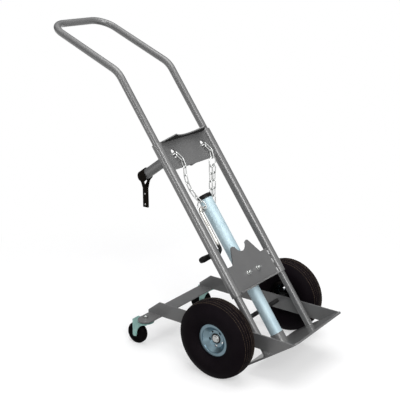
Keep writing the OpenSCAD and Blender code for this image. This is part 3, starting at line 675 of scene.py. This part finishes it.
def strap_path():
    """Stations from one end to the other: the band's middle, the way of its width, half its width."""
    centre = on_frame(-LEG_X, PEG_REACH - STRAP_LOOP_HALF - STRAP_INSET, PEG_ALONG)
    loop_r = PEG_R + STRAP_PLAY + STRAP_T / 2
    turn = math.pi - 2 * STRAP_LEAVE
    loop = []
    for i in range(LOOP_STEPS + 1):
        a = STRAP_LEAVE + turn * i / LOOP_STEPS
        out = ACROSS * math.cos(a) + UP_LEGS * math.sin(a)
        loop.append((centre + out * loop_r, OUT_OF_BACK, STRAP_LOOP_HALF))

    def tail_and_leg(side, head):
        """From the tail's end up to the loop, on one side."""
        beside = centre + ACROSS * (side * STRAP_T / 2)
        foot = beside - UP * STRAP_MEET
        stations = []
        for i in range(TAIL_STEPS + 1):
            drop = STRAP_END + (STRAP_MEET - STRAP_END) * i / TAIL_STEPS
            stations.append((beside - UP * drop, LEVEL_BACK, STRAP_TAIL_HALF))
        for i in range(1, LEG_STEPS):
            t = i / LEG_STEPS
            bow = ACROSS * (side * STRAP_BOW * math.sin(math.pi * t))
            way = LEVEL_BACK.lerp(OUT_OF_BACK, ease(t)).normalized()
            stations.append((foot.lerp(head, t) + bow, way, strap_leg_half(t)))
        return stations

    rising = tail_and_leg(1, loop[0][0])
    falling = tail_and_leg(-1, loop[-1][0])
    return rising + loop + falling[::-1]


def strap_section():
    """The band cut across at its tail, with eased edges."""
    half = STRAP_TAIL_HALF
    flat = half - STRAP_EDGE
    face = STRAP_T / 2 * STRAP_SHRINK
    edge = face - STRAP_EDGE
    return [(half, edge, 0), (flat, face, 0), (0, face, 0), (-flat, face, 0), (-half, edge, 0),
        (-half, -edge, 0), (-flat, -face, 0), (0, -face, 0), (flat, -face, 0), (half, -edge, 0)]


def make_strap():
    """One band round the left peg, doubled and riveted below it."""
    path = strap_path()
    middle = [point for point, way, half in path]
    places = []
    for i, (point, way, half) in enumerate(path):
        ahead = way_along(middle, i)
        wide = square_to(way, ahead)
        places.append(place_at(point, wide * (half / STRAP_TAIL_HALF), ahead.cross(wide), ahead))
    bm = bmesh.new()
    sweep(bm, *closed_ring(bm, strap_section()), places)
    strap = finish_mesh("strap_band", bm, LEATHER, "strap", angle=50)
    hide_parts("strap")


make_strap()


# Welds

def weld(bm, points, radius=WELD_R):
    """A rippled bead along a run of points, at even steps."""
    run = []
    for start, end in zip(points, points[1:]):
        count = max(1, int((end - start).length / WELD_STEP))
        run += [start.lerp(end, i / count) for i in range(count)]
    run.append(points[-1])
    side = way_along(run, 0).orthogonal()
    places = []
    for i, point in enumerate(run):
        ahead = way_along(run, i)
        side = square_to(side, ahead)
        ripple = 1 - RIPPLE + RIPPLE * math.cos(i * RIPPLE_TURN) * math.cos(i * RIPPLE_DRIFT)
        size = radius * (WELD_END if i in (0, len(run) - 1) else ripple)
        places.append(place_at(point, ahead.cross(side) * size, side * size, ahead))
    verts = bmesh.ops.create_circle(bm, segments=WELD_SIDES, radius=1)["verts"]
    edges = list({edge for vert in verts for edge in vert.link_edges})
    sweep(bm, verts, edges, places)


def turn_round(steps):
    """The angles of a full turn in even steps."""
    return [2 * math.pi * i / steps for i in range(steps + 1)]


def weld_plates(riding, stitched, side):
    """Beads and stitches where the carriage's plates meet a sleeve."""
    corner = side * (LEG_X - math.sqrt(SLEEVE_R ** 2 - PLATE_T ** 2) - WELD_LIFT)
    behind = side * (LEG_X - SLEEVE_R - WELD_BACK_LIFT)
    for plate in (LOWER_PLATE, UPPER_PLATE):
        weld(riding, [on_frame(behind, WELD_BACK_LIFT, along) for along in plate])
    weld(riding, [on_frame(corner, -PLATE_T - WELD_LIFT, along) for along in UPPER_PLATE])
    for middle in STITCHES:
        ends = (middle - STITCH_HALF, middle + STITCH_HALF)
        weld(stitched, [on_frame(corner, -PLATE_T - STITCH_LIFT, along) for along in ends], STITCH_R)


def weld_peg(riding, side):
    """A saddle-shaped bead where a peg meets its sleeve."""
    ring_r = PEG_R + WELD_PEG_LIFT
    saddle = []
    for a in turn_round(PEG_WELD_STEPS):
        x = ring_r * math.cos(a)
        back = math.sqrt(max(SLEEVE_R ** 2 - x * x, 0)) + WELD_LIFT
        saddle.append(on_frame(side * LEG_X + x, back, PEG_ALONG + ring_r * math.sin(a)))
    weld(riding, saddle)


def weld_on_toe(fixed, x, back, radius, steps):
    """A round bead on the toe plate, at the foot of a tube."""
    ring_r = radius + WELD_LIFT
    weld(fixed, [on_frame(x + ring_r * math.cos(a), back + ring_r * math.sin(a), TOE_TOP + WELD_LIFT)
        for a in turn_round(steps)])


def weld_arm(fixed, side):
    """Beads where an arm meets the rear plate and the toe plate."""
    inner = side * (ARM_IN - WELD_ARM_LIFT)
    outer = side * (ARM_OUT + WELD_ARM_LIFT)
    rear = (REAR_PLATE_FRONT + REAR_WELD_START, REAR_PLATE_BACK - REAR_WELD_END)
    for x in (inner, outer):
        weld(fixed, [Vector((x, y, REAR_PLATE_TOP + WELD_LIFT)) for y in rear])
    weld(fixed, [on_frame(inner, -ahead, TOE_TOP + WELD_LIFT) for ahead in ARM_ON_TOE])


def make_welds():
    """The welds of the fixed frame and those that ride with the carriage."""
    fixed = bmesh.new()
    riding = bmesh.new()
    stitched = bmesh.new()
    for side in (-1, 1):
        weld_plates(riding, stitched, side)
        weld_peg(riding, side)
        weld_on_toe(fixed, side * LEG_X, 0, LEG_R, LEG_WELD_STEPS)
        weld_arm(fixed, side)
    weld_on_toe(fixed, 0, JACK_BACK, JACK_SOCKET_R, SOCKET_WELD_STEPS)
    finish_mesh("frame_welds", fixed, PAINT, "base", angle=70)
    finish_mesh("carriage_welds", riding, PAINT, "carriage", angle=70)
    finish_mesh("stitch_welds", stitched, WELD, "carriage", angle=70)


make_welds()

# Studio
FLOOR_SIZE = 14
FLOOR_SCALE = 3.0
FLOOR_PALE = (0.96, 0.96, 0.96)
FLOOR_PALER = (0.98, 0.98, 0.98)
FLOOR_BOUNCE = (0.16, 0.16, 0.16)
FLOOR_GLOW = 0.45
SHADOW_NEAR = 0.45
SHADOW_FAR = 1.3
WHITE = (1.0, 1.0, 1.0)
SOFT_LIGHT = (0.50, 0.50, 0.51)
ROOM_GREY = (0.16, 0.165, 0.17)
FRONT_PANEL = (1.10, 1.10, 1.10)
FRONT_WAY = Vector((-0.05, -0.95, 0.30)).normalized()
FRONT_EDGE = (0.55, 0.85)
TOP_PANEL = (0.95, 0.95, 0.95)
TOP_EDGE = (0.45, 0.9)


def make_floor():
    """A white floor that keeps the trolley's shadow and glows further out."""
    bm = bmesh.new()
    bmesh.ops.create_grid(bm, x_segments=1, y_segments=1, size=FLOOR_SIZE)
    mesh = bpy.data.meshes.new("floor")
    bm.to_mesh(mesh)
    bm.free()
    finish = bpy.data.materials.new("pale_floor")
    finish.use_nodes = True
    tree = finish.node_tree
    tree.nodes.remove(tree.nodes["Principled BSDF"])
    path = node(tree, "ShaderNodeLightPath").outputs
    at = on_piece(tree)
    pale = mix(tree, noise(tree, at, FLOOR_SCALE), FLOOR_PALE, FLOOR_PALER)
    lit = node(tree, "ShaderNodeBsdfDiffuse")
    feed(tree, mix(tree, path["Is Camera Ray"], FLOOR_BOUNCE, pale), lit.inputs["Color"])
    glow = node(tree, "ShaderNodeEmission")
    far = node(tree, "ShaderNodeVectorMath", operation="LENGTH")
    feed(tree, at, far.inputs[0])
    away = ramp(tree, far.outputs["Value"], SHADOW_NEAR, SHADOW_FAR)
    mirrored = calc(tree, "MAXIMUM", path["Is Glossy Ray"], path["Is Transmission Ray"])
    looked = calc(tree, "MAXIMUM", path["Is Camera Ray"], mirrored)
    seen = calc(tree, "MULTIPLY", calc(tree, "MAXIMUM", away, FLOOR_GLOW), looked)
    both = node(tree, "ShaderNodeMixShader")
    for socket, value in zip(both.inputs, (seen, lit.outputs[0], glow.outputs[0])):
        feed(tree, value, socket)
    feed(tree, both.outputs[0], tree.nodes["Material Output"].inputs["Surface"])
    mesh.materials.append(finish)
    floor = bpy.data.objects.new("floor", mesh)
    scene.collection.objects.link(floor)


def make_world():
    """White for the camera, even for diffuse light, a studio of panels for reflections."""
    world = bpy.data.worlds.new("studio")
    scene.world = world
    world.use_nodes = True
    tree = world.node_tree
    path = node(tree, "ShaderNodeLightPath").outputs
    way = node(tree, "ShaderNodeTexCoord").outputs["Generated"]
    ahead = ramp(tree, dot(tree, way, FRONT_WAY), *FRONT_EDGE)
    above = ramp(tree, dot(tree, way, UP), *TOP_EDGE)
    panels = mix(tree, above, mix(tree, ahead, ROOM_GREY, FRONT_PANEL), TOP_PANEL)
    unseen = mix(tree, path["Is Glossy Ray"], SOFT_LIGHT, panels)
    looked = calc(tree, "MAXIMUM", path["Is Camera Ray"], path["Is Transmission Ray"])
    back = tree.nodes["Background"].inputs
    feed(tree, mix(tree, looked, unseen, WHITE), back["Color"])
    feed(tree, 1.0, back["Strength"])


def area_light(name, at, to, size, power, up=UP):
    """A rectangular light that looks at a point."""
    lamp = bpy.data.lights.new(name, "AREA")
    lamp.shape = "RECTANGLE"
    lamp.size, lamp.size_y = size
    lamp.energy = power
    light = bpy.data.objects.new(name, lamp)
    back = (Vector(at) - Vector(to)).normalized()
    across = up.cross(back).normalized()
    light.matrix_world = place_at(at, across, back.cross(across), back)
    scene.collection.objects.link(light)
    return light


def make_lights():
    """Two soft lights, a fill from the side and a strip for the tubes."""
    area_light("key", at=(-2.0, -2.8, 2.6), to=(0, 0, 0.5), size=(1.6, 1.6), power=75)
    area_light("overhead", at=(0.1, -0.4, 3.4), to=(0, 0, 0.4), size=(2.4, 2.4), power=60)
    side = area_light("side", at=(-3.0, 0.5, 1.1), to=(0, 0, 0.5), size=(0.6, 2.4), power=20)
    side.visible_glossy = False
    # A strip along the legs that only draws thin bright lines on the tubes
    strip = area_light("edge_strip", at=(-3.99, 0.16, 0.86), to=(0, 0, 0.52), size=(0.35, 3.2), power=48,
        up=UP_LEGS)
    strip.visible_diffuse = False


# Camera, fitted to the photograph
CAMERA_AT = Vector((-2.1187, AXLE_Y - 1.3726, 1.3123))
CAMERA_AHEAD = Vector((0.76285, 0.57497, -0.29575)).normalized()
CAMERA_ROLL = math.radians(-0.26)
CAMERA_LENS = 74.1
CAMERA_SENSOR = 36


def make_camera():
    """The camera that takes the photograph's view."""
    lens = bpy.data.cameras.new("camera")
    lens.lens = CAMERA_LENS
    lens.sensor_width = CAMERA_SENSOR
    camera = bpy.data.objects.new("camera", lens)
    level = CAMERA_AHEAD.cross(UP).normalized()
    upright = level.cross(CAMERA_AHEAD)
    right = level * math.cos(CAMERA_ROLL) + upright * math.sin(CAMERA_ROLL)
    up = upright * math.cos(CAMERA_ROLL) - level * math.sin(CAMERA_ROLL)
    camera.matrix_world = place_at(CAMERA_AT, right, up, -CAMERA_AHEAD)
    scene.collection.objects.link(camera)
    scene.camera = camera


make_floor()
make_world()
make_lights()
make_camera()
scene.view_settings.view_transform = "Standard"
